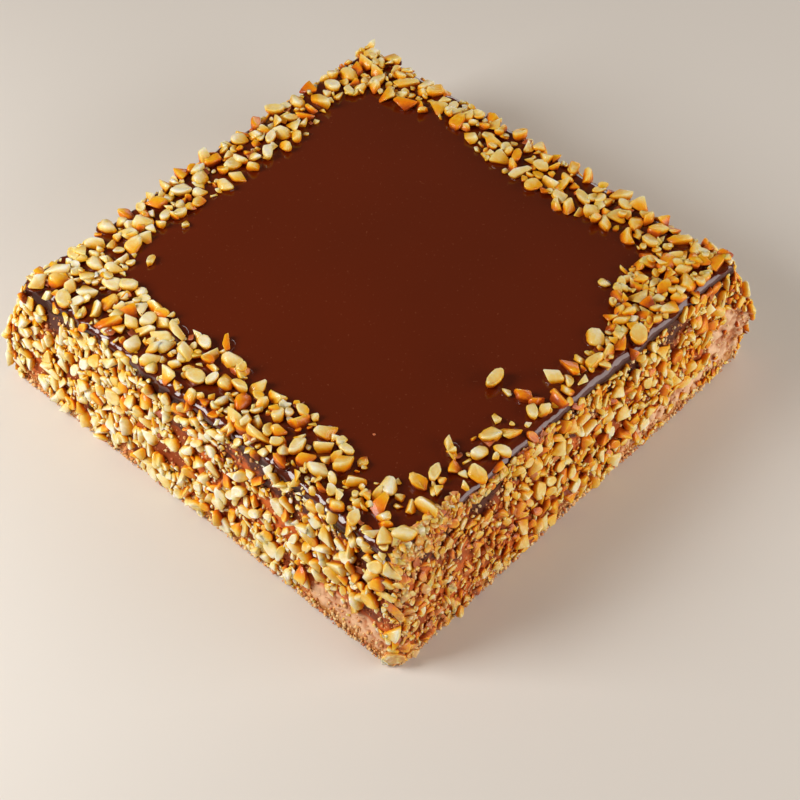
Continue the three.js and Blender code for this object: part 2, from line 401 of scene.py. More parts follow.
def propose_on_top(draw, length, loose):
    u = next(draw)
    if loose and within(SPARSE_BORDER, u) and next(draw) > SPARSE_SHARE:
        return None
    return place_on_border(draw, u)


def propose_on_far_top(draw, length, loose):
    return place_on_border(draw, pick(draw, FAR_BORDER))


def propose_on_side(draw, length, loose):
    """A place on a side. The nuts that the solids carry stay clear of the fudge and of bare patches; loose
    ones reach the fudge, and leave the patches a ragged edge."""
    u = next(draw)
    z = next(draw) * CAKE_HEIGHT
    side, along = side_at(u)
    reach = length / 2 + NUT_CLEARANCE
    fine_side, fine_end, longest = FINE_STRETCH
    too_coarse = side == fine_side and along < fine_end and length > longest
    top = skirt_beside(u) - reach
    margin = reach / 2
    thin = False
    left = False
    if loose:
        top = skirt_height(u) + length * LOOSE_REACH[side]
        margin += RAGGED_EDGE * noise.noise(Vector((along, z, RAGGED_APART * side)) / RAGGED_SIZE)
        spot = Vector((along, THIN_FLATNESS * z, THIN_APART * side)) / THIN_SIZE
        thin = noise.noise(spot) < THIN_BELOW
        left = next(draw) < LEFT_ON_BARE
    if z < reach or z > top or thin or too_coarse:
        return None
    if is_bare(side, along, z, margin) and not left:
        return None
    return place_on_side(u, z)


def propose_bit(draw, length, loose):
    place = propose_on_side(draw, length, loose)
    if place and within(BITLESS_STRETCH, share_round(place[0])):
        return None
    return place


def propose_on_lip(draw, length, loose):
    u = next(draw)
    angle = next(draw) * math.pi / 2
    return place_on_lip(u, angle) if next(draw) < LIP_COVER[int(4 * u)] else None


def propose_by_corner(draw, length, loose):
    on_skirt = next(draw) < SKIRT_SHARE
    u = pick(draw, COVERED_SKIRT if on_skirt else COVERED_LIP)
    angle = next(draw) * (SKIRT_ANGLE if on_skirt else math.pi / 2)
    return place_on_lip(u, angle)


def scatter(rule, propose, strays=(), others=()):
    """Nuts in their places, largest first: each takes, of a few random places, the one with most room
    between them and any others that lie there already. The first ones go to the places of the strays."""
    draw = random_from(rule.seed)
    nuts = []
    points = np.zeros((len(others) + rule.count, 3))
    lengths = np.zeros(len(others) + rule.count)
    for i, other in enumerate(others):
        points[i] = other.point
        lengths[i] = other.length
    for i in range(rule.count):
        length = rule.smallest + (rule.largest - rule.smallest) * (1 - i / rule.count) ** rule.fall
        best, most = None, -math.inf
        placed = len(others) + len(nuts)
        for _ in range(rule.tries if i < rule.solid else rule.loose_tries):
            place = propose(draw, length, i >= rule.solid)
            if place:
                away = np.linalg.norm(points[:placed] - place[0], axis=1)
                room = min(rule.largest, np.min(away - (length + lengths[:placed]) / 2, initial=math.inf))
                if room > most:
                    best, most = place, room
        look = {
            "width": from_least(NUT_WIDTH, next(draw)),
            "thickness": from_least(NUT_THICKNESS, next(draw)),
            "turn": 2 * math.pi * next(draw),
            "tilt": NUT_TILT * (next(draw) - 0.5),
            "roll": NUT_TILT * (next(draw) - 0.5),
            "kernel": next(draw) < KERNEL_SHARE,
            "seed": rule.seed * SEED_STEP + i,
        }
        if look["kernel"]:
            look["width"] *= KERNEL_NARROWING
        if i < len(strays):
            x, y, length = strays[i]
            best = place_on_top(x, y)
        elif i >= rule.solid:
            if length < SMALL_LENGTH:
                look["width"] = max(look["width"], SMALL_WIDTH)
            look["tilt"] *= LOOSE_TILT
            look["roll"] *= LOOSE_TILT
            crowd = max(0, -most / length - CROWDED)
            look["lift"] = length * look["thickness"] * min(LIFT_MOST, crowd)
        if best:
            points[placed] = best[0]
            lengths[placed] = length
            nuts.append(Nut(best[0], best[1], length, **look))
    return nuts


# Shells


def grow(bm, edges):
    """Extrudes an edge loop, and gives the new loop's points and edges."""
    grown = bmesh.ops.extrude_edge_only(bm, edges=edges)["geom"]
    verts = [item for item in grown if isinstance(item, bmesh.types.BMVert)]
    return verts, [item for item in grown if isinstance(item, bmesh.types.BMEdge)]


def in_order(bm):
    """The same mesh made again with its faces in one order, because extruding leaves them in any order."""
    bm.verts.index_update()
    loops = sorted([vert.index for vert in face.verts] for face in bm.faces)
    fresh = bmesh.new()
    verts = [fresh.verts.new(vert.co) for vert in bm.verts]
    for loop in loops:
        fresh.faces.new([verts[index] for index in loop])
    fresh.verts.index_update()
    bm.free()
    return fresh


def outline_shell(rings):
    """A closed shell through rings, each a function of u that gives its half width and height. Its points
    lie ring by ring, so a point's number over the steps in a ring is its u and some whole turns."""
    bm = bmesh.new()
    bmesh.ops.create_circle(bm, segments=SHELL_SEGMENTS, radius=1)
    verts = list(bm.verts)
    edges = list(bm.edges)
    first = edges
    for number, ring in enumerate(rings):
        if number:
            verts, edges = grow(bm, edges)
        for i, vert in enumerate(verts):
            u = i / SHELL_SEGMENTS
            half, z = ring(u)
            place = half * outline_at(u, z)[0]
            vert.co = (place.real, place.imag, z)
    bmesh.ops.edgeloop_fill(bm, edges=first)
    bmesh.ops.edgeloop_fill(bm, edges=edges)
    bm = in_order(bm)
    bmesh.ops.recalc_face_normals(bm, faces=bm.faces)
    bm.normal_update()
    return bm


def level_ring(half, z):
    return lambda u: (half, z)


def add_object(name, data):
    added = bpy.data.objects.new(name, data)
    bpy.context.scene.collection.objects.link(added)
    return added


def mesh_of(name, bm):
    mesh = bpy.data.meshes.new(name)
    bm.to_mesh(mesh)
    bm.free()
    return mesh


def cake_piece(name, mesh, material):
    """A finished piece, riding on the cake."""
    piece = add_object(name, mesh)
    mesh.materials.append(material)
    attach(piece, "root")
    return piece


def shell_piece(name, bm, material):
    """A finished piece in metres, smooth all over."""
    bmesh.ops.scale(bm, vec=(MM, MM, MM), verts=bm.verts)
    for face in bm.faces:
        face.smooth = True
    return cake_piece(name, mesh_of(name, bm), material)


# A shell's flat ends close on a small ring
CAP_HALF = 1

# Low lumps of frosting and the torn cream of bare patches, with a fractal noise's fall, step and octaves,
# and the heights over which they fade out at the foot and under the fudge
LUMP_HEIGHT = 0.9
LUMP_SIZE = 4.5
LUMP_NOISE = (0.8, 2, 3)
TORN_HEIGHT = 1.5
TORN_SIZE = 3.6
TORN_NOISE = (0.7, 2.1, 4)
FOOT_FADE = 6
SHOULDER_FADE = 8
SHOULDER_FLAT = 4
FROSTING_STEP = 1.1


def frosting_body(material):
    """The cream frosting, flat underneath and on top, with low lumps down its sides, and torn where it is
    bare. Each point keeps how bare it is, and how high it stands in the torn cream, from which the
    frosting's finish paints shade in the hollows."""
    rings = [
        level_ring(CAP_HALF, 0),
        level_ring(FOOT_HALF - FOOT_ROUND, 0),
        level_ring(FOOT_HALF, FOOT_ROUND),
    ]
    z = FOOT_ROUND + FROSTING_STEP
    while z < SHOULDER_HEIGHT:
        rings.append(level_ring(frosting_half(z), z))
        z += FROSTING_STEP
    rings.append(level_ring(SHOULDER_HALF, SHOULDER_HEIGHT))
    rings.append(level_ring(SHOULDER_HALF - SHOULDER_ROUND, CAKE_HEIGHT))
    rings.append(level_ring(CAP_HALF, CAKE_HEIGHT))
    bm = outline_shell(rings)
    bare = bm.verts.layers.float.new("bare")
    high = bm.verts.layers.float.new("high")
    for vert in bm.verts:
        below = SHOULDER_HEIGHT - SHOULDER_FLAT - vert.co.z
        fade = smooth(vert.co.z / FOOT_FADE) * smooth(below / SHOULDER_FADE)
        lump = noise.fractal(vert.co / LUMP_SIZE, *LUMP_NOISE)
        torn = noise.fractal(vert.co / TORN_SIZE, *TORN_NOISE)
        vert[bare] = bareness(vert.index / SHELL_SEGMENTS, vert.co.z)
        vert[high] = 0.5 + 0.5 * torn
        vert.co += vert.normal * fade * (LUMP_HEIGHT * lump + TORN_HEIGHT * torn * vert[bare])
    return shell_piece("cream_frosting", bm, material)


# The round hem of the fudge's skirt: out from the frosting, and up from the skirt's lower edge
HEM_PROFILE = [
    (2 * FUDGE_GAP, 0.3),
    (2 * FUDGE_GAP + 0.15, 0.05),
    (HEM_THICKNESS + 0.2, 0.1),
    (HEM_THICKNESS + FUDGE_GAP, 0.5),
]
LIP_STEPS = 8
TOP_RINGS = 24
TOP_CAP_SHARE = 0.3

# A slow wave over the fudge, and ridges round its edge, lower on the right, with their fractal noises
TOP_WAVE = 0.1
TOP_WAVE_SIZE = 45
TOP_WAVE_NOISE = (1, 2, 2)
TOP_WAVE_ABOVE = FUDGE_BOTTOM + 1
RIDGE_HEIGHT = 1.3
RIDGE_ON_RIGHT = 0.6
RIDGE_SIZE = 8
RIDGE_NOISE = (0.8, 2.2, 3)
RIDGE_REACH = 8
FACING_DOWN = -0.5


def fudge_glaze(material):
    """The poured fudge: a slab whose edge rolls over the frosting into a thin skirt with a round hem."""
    def hem_ring(out, up):
        return lambda u: (frosting_half(skirt_height(u)) + out, skirt_height(u) + up)

    rings = [
        level_ring(CAP_HALF, FUDGE_BOTTOM),
        level_ring(SHOULDER_HALF - SHOULDER_ROUND + FUDGE_GAP / 2, FUDGE_BOTTOM),
        level_ring(SHOULDER_HALF + FUDGE_GAP, SHOULDER_HEIGHT + FUDGE_GAP / 2),
    ]
    rings.extend(hem_ring(out, up) for out, up in HEM_PROFILE)
    for i in range(LIP_STEPS + 1):
        angle = math.pi / 2 * i / LIP_STEPS
        half = LIP_HALF - LIP_RADIUS * (1 - math.cos(angle))
        rings.append(level_ring(half, FUDGE_TOP - LIP_RADIUS * (1 - math.sin(angle))))
    for i in range(1, TOP_RINGS + 1):
        half = (LIP_HALF - LIP_RADIUS) * (1 - i / (TOP_RINGS + TOP_CAP_SHARE))
        rings.append(level_ring(half, FUDGE_TOP))
    bm = outline_shell(rings)
    for vert in bm.verts:
        edge = max(abs(vert.co.x), abs(vert.co.y)) - (LIP_HALF - RIDGE_REACH)
        if vert.co.z > TOP_WAVE_ABOVE:
            vert.co.z += TOP_WAVE * noise.fractal(vert.co / TOP_WAVE_SIZE, *TOP_WAVE_NOISE)
        if vert.normal.z > FACING_DOWN:
            ridge = noise.fractal(vert.co / RIDGE_SIZE, *RIDGE_NOISE)
            tall = RIDGE_ON_RIGHT if vert.co.x > LIP_HALF - RIDGE_REACH else RIDGE_HEIGHT
            vert.co += vert.normal * tall * ridge * smooth(edge / RIDGE_REACH)
    return shell_piece("fudge_glaze", bm, material)


# Forms to repeat


@dataclass
class Form:
    """A shape to repeat: its points, its faces, and how far each point lies on a break."""
    points: np.ndarray
    faces: list
    breaks: np.ndarray


@dataclass
class Copy:
    """One copy of a form: where it lies, how it is turned and sized, which way is out, its tone from pale
    to dark, which for nuts carries painted shade too, and how thick a film of frosting it has."""
    form: Form
    matrix: Matrix
    centre: Vector
    out: Vector
    tone: float
    film: float = 0


FORM_COUNT = 24


def make_forms(make, seed):
    return [make(seed + i) for i in range(FORM_COUNT)]


def form_of(bm, breaks=0):
    """The form of a bmesh, with one share of breaks for each point or one for all."""
    bm.verts.index_update()
    points = np.array([vert.co[:] for vert in bm.verts])
    faces = sorted([vert.index for vert in face.verts] for face in bm.faces)
    bm.free()
    return Form(points, faces, np.zeros(len(points)) + breaks)


def boxed(form):
    """The form, stretched to fill a box of half side 1."""
    low, high = form.points.min(axis=0), form.points.max(axis=0)
    form.points = (2 * form.points - low - high) / (high - low)
    return form


def unit_vector(draw):
    up = 2 * next(draw) - 1
    turn = 2 * math.pi * next(draw)
    flat = math.sqrt(1 - up * up)
    return Vector((math.cos(turn) * flat, math.sin(turn) * flat, up))


def end_chip(draw, span):
    """A break across one end, a little askew."""
    way = Vector((1, next(draw) - 0.5, 0)).normalized()
    return way, pick(draw, span)


# The ball of radius 1 that nuts are broken from: what is cut flush, merged, rounded off and left as a rim
BALL_SEGMENTS = 8
BALL_RINGS = 6
CUT_TOLERANCE = 0.0001
SHORT_EDGE = 0.14
SOFT_EDGE = 0.16
DISH_RIM = 0.2


def chop(bm, broken, way, distance):
    """Breaks off what lies beyond a plane and closes the break with a flat face."""
    found = bmesh.ops.bisect_plane(
        bm, geom=bm.verts[:] + bm.edges[:] + bm.faces[:], dist=CUT_TOLERANCE,
        plane_co=way * distance, plane_no=way, clear_outer=True,
    )
    rim = [item for item in found["geom_cut"] if isinstance(item, bmesh.types.BMEdge)]
    if rim:
        for face in bmesh.ops.edgeloop_fill(bm, edges=rim)["faces"]:
            face[broken] = 1


def broken_form(draw, breaks, rough, point, bend, dish=0):
    """A rough ball broken off along planes, each a direction with its distance, with the edges of its
    breaks softened. It narrows to one end by its point, is curved like a bean by its bend, and its largest
    break is hollow where it has a dish. It fills a box of half side 1."""
    bm = bmesh.new()
    bmesh.ops.create_uvsphere(bm, u_segments=BALL_SEGMENTS, v_segments=BALL_RINGS, radius=1)
    bmesh.ops.rotate(bm, matrix=Matrix.Rotation(math.pi / 2, 3, "Y"), verts=bm.verts)
    bm = in_order(bm)
    broken = bm.faces.layers.int.new("broken")
    for vert in bm.verts:
        vert.co *= 1 + rough * (2 * next(draw) - 1)
        vert.co.y *= 1 - point * vert.co.x
    for way, distance in breaks:
        chop(bm, broken, way, distance)
    bmesh.ops.remove_doubles(bm, verts=bm.verts, dist=SHORT_EDGE)
    rims = [edge for edge in bm.edges if any(face[broken] for face in edge.link_faces)]
    bmesh.ops.bevel(
        bm, geom=rims, offset=SOFT_EDGE, offset_type="OFFSET", segments=1, profile=0.5,
        affect="EDGES", clamp_overlap=True, material=-1,
    )
    bmesh.ops.recalc_face_normals(bm, faces=bm.faces)
    if dish:
        inner = max((face for face in bm.faces if face[broken]), key=lambda face: face.calc_area())
        bmesh.ops.inset_individual(bm, faces=[inner], thickness=DISH_RIM, depth=-dish)
    for vert in bm.verts:
        vert.co.y += bend * vert.co.x**2
    shares = [sum(face[broken] for face in vert.link_faces) / len(vert.link_faces) for vert in bm.verts]
    return boxed(form_of(bm, shares))


# Half kernels: the share whose inner face is up, how that face lies, and the share with a chipped end
KERNEL_SEED = 100
KERNEL_ROUGH = 0.04
KERNEL_UP_SHARE = 0.4
KERNEL_LEAN = 0.1
KERNEL_TWIST = 0.2
KERNEL_SPLIT = (0.08, 0.3)
KERNEL_CHIP_SHARE = 0.7
KERNEL_CHIP = (0.3, 0.75)
KERNEL_POINT = (0, 0.22)
KERNEL_BEND = (-0.35, 0.35)
KERNEL_DISH = (0.02, 0.08)


def kernel_form(seed):
    """Half a kernel: a dome that narrows to one end, with a flat inner face, some of them chipped."""
    draw = random_from(seed)
    up = 1 if next(draw) < KERNEL_UP_SHARE else -1
    inner = Vector((KERNEL_LEAN, KERNEL_TWIST * (next(draw) - 0.5), up)).normalized()
    breaks = [(inner, pick(draw, KERNEL_SPLIT))]
    if next(draw) < KERNEL_CHIP_SHARE:
        breaks.append(end_chip(draw, KERNEL_CHIP))
    point = pick(draw, KERNEL_POINT)
    bend = pick(draw, KERNEL_BEND)
    dish = pick(draw, KERNEL_DISH)
    return broken_form(draw, breaks, KERNEL_ROUGH, point, bend, dish)


# Chunks: their breaks at one end, at the other and any way, with the share that has each
CHUNK_SEED = 200
CHUNK_ROUGH = 0.05
CHUNK_SPLIT = (0, 0.35)
CHUNK_BREAKS = [(1, 1), (-1, 0.85), (0, 0.5)]
CHUNK_LEAN = 0.6
CHUNK_DISTANCE = (0.15, 0.55)
CHUNK_POINT = (-0.2, 0.2)
CHUNK_BEND = (-0.3, 0.3)


def chunk_form(seed):
    """A chopped piece: half a kernel broken off across its length, at one end or both, and some of them
    split once more."""
    draw = random_from(seed)
    inner = 2 * math.pi * next(draw)
    breaks = [(Vector((0, math.cos(inner), math.sin(inner))), pick(draw, CHUNK_SPLIT))]
    for way, share in CHUNK_BREAKS:
        lean = Vector((way, 0, 0)) + CHUNK_LEAN * unit_vector(draw)
        distance = pick(draw, CHUNK_DISTANCE)
        if next(draw) < share:
            breaks.append((lean.normalized(), distance))
    point = pick(draw, CHUNK_POINT)
    bend = pick(draw, CHUNK_BEND)
    return broken_form(draw, breaks, CHUNK_ROUGH, point, bend)


# Slivers: how their two long breaks lean and twist
SLIVER_SEED = 300
SLIVER_ROUGH = 0.05
SLIVER_LEAN = (0.2, 0.9)
SLIVER_TWIST = 0.3
SLIVER_DISTANCE = (0.15, 0.45)
SLIVER_CHIP = (0.5, 0.85)
SLIVER_POINT = (-0.2, 0.2)
SLIVER_BEND = (-0.5, 0.5)


def sliver_form(seed):
    """A split piece: two breaks along its length leave a narrow wedge."""
    draw = random_from(seed)
    lean = pick(draw, SLIVER_LEAN)
    breaks = []
    for side in (1, -1):
        way = Vector((SLIVER_TWIST * (next(draw) - 0.5), side, lean)).normalized()
        breaks.append((way, pick(draw, SLIVER_DISTANCE)))
    breaks.append(end_chip(draw, SLIVER_CHIP))
    point = pick(draw, SLIVER_POINT)
    bend = pick(draw, SLIVER_BEND)
    return broken_form(draw, breaks, SLIVER_ROUGH, point, bend)


# Flakes of skin: how many faces each way, the span of their curl, and how uneven their edge and sheet are
SKIN_SEED = 400
SKIN_GRID = 3
SKIN_CURL = (0.3, 0.9)
SKIN_SLANT = 0.3
SKIN_RAGGED = 0.3
SKIN_CREASE = 0.15
SKIN_SHEET = 0.12


def skin_form(seed):
    """A flake of peanut skin: a thin curled sheet with an uneven edge."""
    draw = random_from(seed)
    bm = bmesh.new()
    bmesh.ops.create_grid(bm, x_segments=SKIN_GRID, y_segments=SKIN_GRID, size=1)
    curl = pick(draw, SKIN_CURL)
    for vert in bm.verts:
        vert.co *= 1 - SKIN_RAGGED * next(draw)
        vert.co.z = curl * vert.co.x**2 + SKIN_SLANT * curl * vert.co.y + SKIN_CREASE * next(draw)
    bmesh.ops.solidify(bm, geom=bm.faces[:], thickness=SKIN_SHEET)
    bmesh.ops.recalc_face_normals(bm, faces=bm.faces)
    return boxed(form_of(bm))


# A rim of fudge round a nut of half side 1: its radius and its height in millimetres, from outside in
RIM_PROFILE = [(1.1, -0.1), (0.98, 0.06), (0.86, 0.2), (0.76, 0.24)]
RIM_SIDES = 12


def rim_form():
    """The fudge drawn up round a nut: a low mound with a hollow flank, round for a nut of half side 1."""
    bm = bmesh.new()
    bmesh.ops.create_circle(bm, segments=RIM_SIDES, radius=1)
    verts = list(bm.verts)
    edges = list(bm.edges)
    bmesh.ops.edgeloop_fill(bm, edges=edges)
    for number, (radius, height) in enumerate(RIM_PROFILE):
        if number:
            verts, edges = grow(bm, edges)
        for vert in verts:
            vert.co = (*(vert.co.xy.normalized() * radius), height)
    bmesh.ops.edgeloop_fill(bm, edges=edges)
    bmesh.ops.recalc_face_normals(bm, faces=bm.faces)
    return form_of(bm)


CRUMB_SEED = 41
CRUMB_CUBE = 1.2
CRUMB_ROUGH = 0.35


def crumb_form(seed):
    """A crumb: a cube with its corners out of true, broken all over."""
    draw = random_from(seed)
    bm = bmesh.new()
    bmesh.ops.create_cube(bm, size=CRUMB_CUBE)
    for vert in bm.verts:
        vert.co *= 1 + CRUMB_ROUGH * (2 * next(draw) - 1)
    return form_of(bm, 1)


# Copies of the forms


def nut_matrix(nut):
    upright = Vector((0, 0, 1)).rotation_difference(nut.normal).to_matrix()
    lie = Euler((nut.tilt, nut.roll, nut.turn), "XYZ").to_matrix()
    half = nut.length / 2
    return upright @ lie @ Matrix.Diagonal((half, half * nut.width, half * nut.thickness))


def nut_centre(nut):
    return nut.point + nut.normal * (nut.length * nut.thickness * (0.5 - SUNK_SHARE) + nut.lift)


# Seeds that lie side by side draw like numbers at first, so a nut passes over so many
LIKE_DRAWS = 4

# Tones of pale and roasted nuts, each a least value and a range, with the share that is roasted
PALE_TONE = (0.02, 0.2)
ROAST_TONE = (0.3, 0.3)
ROAST_SHARE = 0.18

# Nuts that face the right are darker, partly as painted warm shade and partly as browner nuts, and more of
# them are roasted; those by the near corner are darker; and those that face up get painted shade that
# darkens them towards the right corner, where the light falls off
RIGHT_FACING = 0.6
RIGHT_SIDE_SHADE_TONE = 0.14
RIGHT_SIDE_SHARE = 0.36
CORNER_TONE = 0.08
TOP_FALLOFF_SHADE = 0.18

# The film of frosting on nuts of the right side and by the near corner, and how far from the corner it ends
FILM_MOST = 0.9
FILM_REACH = 110


def nut_copies(nuts, forms):
    """The nuts sorted into kinds, each with a form of its kind, a tone, darkened with painted shade on the
    right side and towards the right corner of the top, and a film of frosting.
    """
    kinds = {kind: [] for kind in forms}
    for nut in nuts:
        draw = random_from(nut.seed)
        for _ in range(LIKE_DRAWS):
            next(draw)
        kind = "nut_chunks"
        if nut.kernel:
            kind = "half_kernels"
        elif nut.width < SLIVER_WIDTH:
            kind = "nut_slivers"
        form = forms[kind][int(next(draw) * FORM_COUNT)]
        on_right = nut.normal.x > RIGHT_FACING
        by_corner = nut.seed // SEED_STEP == CORNER_NUTS.seed
        roasted = next(draw) < (RIGHT_SIDE_SHARE if on_right else ROAST_SHARE)
        tone = from_least(ROAST_TONE if roasted else PALE_TONE, next(draw))
        film = 0
        # Painted shade: a darker tone for nuts on the right side, and for those on the top towards the right
        # corner
        if on_right:
            tone += RIGHT_SIDE_SHADE_TONE
        else:
            tone += TOP_FALLOFF_SHADE * nut.normal.z * (0.5 + (nut.point.x + nut.point.y) / (4 * LIP_HALF))
        if by_corner:
            tone += CORNER_TONE
        if by_corner or on_right:
            film = FILM_MOST * next(draw) * smooth(1 - (nut.point.y + LIP_HALF) / FILM_REACH)
        kinds[kind].append(Copy(form, nut_matrix(nut), nut_centre(nut), nut.normal, tone, film))
    return kinds


FLAT_TILT = 0.25


def rim_copies(nuts):
    """A rim of fudge round each wide nut that lies flat on the top."""
    form = rim_form()
    copies = []
    for nut in nuts:
        if nut.lift or nut.width < SLIVER_WIDTH or max(abs(nut.tilt), abs(nut.roll)) > FLAT_TILT:
            continue
        turn = Matrix.Rotation(nut.turn, 3, "Z")
        half = nut.length / 2
        matrix = turn @ Matrix.Diagonal((half, half * nut.width, 1))
        copies.append(Copy(form, matrix, nut.point, nut.normal, 0))
    return copies


SKIN_THICKNESS = 0.4
SKIN_LIFT = (0.3, 1.4)


def skin_copies(nuts):
    """Flakes of skin that lie over the nuts."""
    forms = make_forms(skin_form, SKIN_SEED)
    copies = []
    for nut in nuts:
        draw = random_from(nut.seed)
        nut.thickness = SKIN_THICKNESS
        nut.lift = from_least(SKIN_LIFT, next(draw))
        form = forms[int(next(draw) * FORM_COUNT)]
        copies.append(Copy(form, nut_matrix(nut), nut_centre(nut), nut.normal, next(draw)))
    return copies


# Crumbs: their size is a least value and a range that few reach the end of. A share of them lie at the foot,
# and stand further out the lower they are. The others lie up to the skirt, fewer on bare frosting.
CRUMB_COUNT = 14000
CRUMB_SIZE = (0.6, 1.8)
CRUMB_FALL = 3
CRUMB_TONE = (0, 1)
CRUMB_LOWEST = 0.8
CRUMB_FOOT_SHARE = 0.46
CRUMB_FOOT_HEIGHT = 9
CRUMB_FOOT_OUT = 1.6
CRUMB_OUT = 0.4
CRUMB_BELOW_SKIRT = 2
CRUMB_BARE_LOSS = 0.3

# Larger and darker crumbs on the lip by the near corner, and one in the open fudge
LIP_CRUMB_COUNT = 800
LIP_CRUMB_GROWTH = 2
LIP_CRUMB_TONE = (0.7, 1.1)
FUDGE_CRUMB = (64, -73)
FUDGE_CRUMB_SIZE = 1.6


def crumb_copies():
    """Fine crumbs all down the sides, thickest along the foot, and on the lip by the near corner, and one
    in the open fudge."""
    draw = random_from(CRUMB_SEED)
    forms = make_forms(crumb_form, CRUMB_SEED)
    copies = []

    def crumb_size():
        return from_least(CRUMB_SIZE, next(draw) ** CRUMB_FALL)

    def add_crumb(point, normal, size, tones):
        turn = Euler([2 * math.pi * next(draw) for _ in range(3)]).to_matrix()
        form = forms[int(next(draw) * FORM_COUNT)]
        copies.append(Copy(form, turn * (size / 2), point, normal, pick(draw, tones)))

    for _ in range(CRUMB_COUNT):
        u = next(draw)
        size = crumb_size()
        at_foot = next(draw) < CRUMB_FOOT_SHARE
        up = next(draw)
        height = CRUMB_FOOT_HEIGHT * up**2 if at_foot else (skirt_height(u) - CRUMB_BELOW_SKIRT) * up
        z = max(CRUMB_LOWEST * size, height)
        if not at_foot and CRUMB_BARE_LOSS * bareness(u, z) > next(draw):
            continue
        point, normal = place_on_side(u, z)
        out = next(draw) * (CRUMB_FOOT_OUT * (1 - up) if at_foot else CRUMB_OUT)
        add_crumb(point + normal * out, normal, size, CRUMB_TONE)
    for _ in range(LIP_CRUMB_COUNT):
        point, normal = propose_by_corner(draw, 0, True)
        add_crumb(point, normal, LIP_CRUMB_GROWTH * crumb_size(), LIP_CRUMB_TONE)
    point, normal = place_on_top(*FUDGE_CRUMB)
    copies.append(Copy(forms[0], Matrix.Identity(3) * (FUDGE_CRUMB_SIZE / 2), point, normal, 1))
    return copies


def joined_copies(name, copies, material):
    """One piece with every copy in it. Each point keeps its copy's tone and film, how far it lies on a
    break, and how far it is sunk, from 0 at the copy's outermost to 1, which the nuts' finish paints as
    shade."""
    points, faces, tones, films, breaks, shade_depths = [], [], [], [], [], []
    for copy in copies:
        start = len(tones)
        spread = copy.form.points @ np.array(copy.matrix).T
        rise = spread @ np.array(copy.out)
        points.extend((spread + np.array(copy.centre)) * MM)
        faces.extend([start + corner for corner in face] for face in copy.form.faces)
        tones.extend([copy.tone] * len(spread))
        films.extend([copy.film] * len(spread))
        breaks.extend(copy.form.breaks)
        shade_depths.extend((rise.max() - rise) / np.ptp(rise))
    mesh = bpy.data.meshes.new(name)
    mesh.from_pydata(points, [], faces)
    mesh.polygons.foreach_set("use_smooth", [True] * len(faces))
    for label, values in (("tone", tones), ("film", films), ("break", breaks), ("depth", shade_depths)):
        mesh.attributes.new(label, "FLOAT", "POINT").data.foreach_set("value", values)
    mesh.update()
    cake_piece(name, mesh, material)


# Finishes


class Value:
    """A socket that shader maths is written on: each operator adds its Math node."""

    def __init__(self, finish, socket):
        self.finish = finish
        self.socket = socket

    def maths(self, operation, *values):
        return self.finish.node("ShaderNodeMath", {"operation": operation}, dict(enumerate(values)))

    def __add__(self, other):
        return self.maths("ADD", self, other)

    def __radd__(self, other):
        return self.maths("ADD", other, self)

    def __sub__(self, other):
        return self.maths("SUBTRACT", self, other)

    def __rsub__(self, other):
        return self.maths("SUBTRACT", other, self)

    def __mul__(self, other):
        return self.maths("MULTIPLY", self, other)

    def __rmul__(self, other):
        return self.maths("MULTIPLY", other, self)


# The Mix node's sockets for colours, by number, because its other kinds of value share their names
MIX_FACTOR = 0
MIX_FIRST = 6
MIX_SECOND = 7
MIX_RESULT = 2


class Finish:
    """A material whose nodes are added by one method."""

    def __init__(self, name):
        self.material = bpy.data.materials.new(name)
        self.material.use_nodes = True
        self.tree = self.material.node_tree
        self.shader = self.tree.nodes["Principled BSDF"]
        self.place = self.node("ShaderNodeTexCoord", output="Object")

    def node(self, kind, settings=None, inputs=None, output=0):
        made = self.tree.nodes.new(kind)
        for name, value in (settings or {}).items():
            if name == "stops":
                set_stops(made.color_ramp, value)
            else:
                setattr(made, name, value)
        for name, value in (inputs or {}).items():
            self.feed(made.inputs[name], value)
        return Value(self, made.outputs[output])

    def feed(self, socket, value):
        if isinstance(value, Value):
            self.tree.links.new(value.socket, socket)
        else:
            socket.default_value = value

    def set(self, **inputs):
        """Sets or links the shader's own sockets; an underscore stands for a space."""
        for name, value in inputs.items():
            self.feed(self.shader.inputs[name.replace("_", " ")], value)

    def noise(self, size, detail=2, roughness=0.5, stretch=(1, 1, 1)):
        """Noise from 0 to 1 with features of a size in millimetres, longer along an axis if stretched."""
        scale = [1 / (size * MM * axis) for axis in stretch]
        place = self.node("ShaderNodeMapping", inputs={"Vector": self.place, "Scale": scale})
        inputs = {"Vector": place, "Scale": 1, "Detail": detail, "Roughness": roughness}
        return self.node("ShaderNodeTexNoise", inputs=inputs)

    def mix(self, factor, first, second):
        inputs = {MIX_FACTOR: factor, MIX_FIRST: first, MIX_SECOND: second}
        return self.node("ShaderNodeMix", {"data_type": "RGBA"}, inputs, MIX_RESULT)

    def step(self, value, low, high):
        """0 up to low, 1 from high on, smooth between; the other way round where high is below low."""
        inputs = {"Value": value, "From Min": low, "From Max": high}
        return self.node("ShaderNodeMapRange", {"interpolation_type": "SMOOTHSTEP"}, inputs)

    def height_step(self, low, high):
        """A step from one height to another, in millimetres."""
        height = self.node("ShaderNodeSeparateXYZ", inputs={"Vector": self.place}, output="Z")
        return self.step(height, low * MM, high * MM)

    def ramp(self, value, stops):
        return self.node("ShaderNodeValToRGB", {"stops": stops}, {"Fac": value})

    def attribute(self, name):
        return self.node("ShaderNodeAttribute", {"attribute_name": name}, output="Fac")

    def bump(self, relief, depth, strength=1):
        """A normal from a relief of 0 to 1 that is so many millimetres deep."""
        inputs = {"Height": relief, "Distance": depth * MM, "Strength": strength}
        self.set(Normal=self.node("ShaderNodeBump", inputs=inputs))


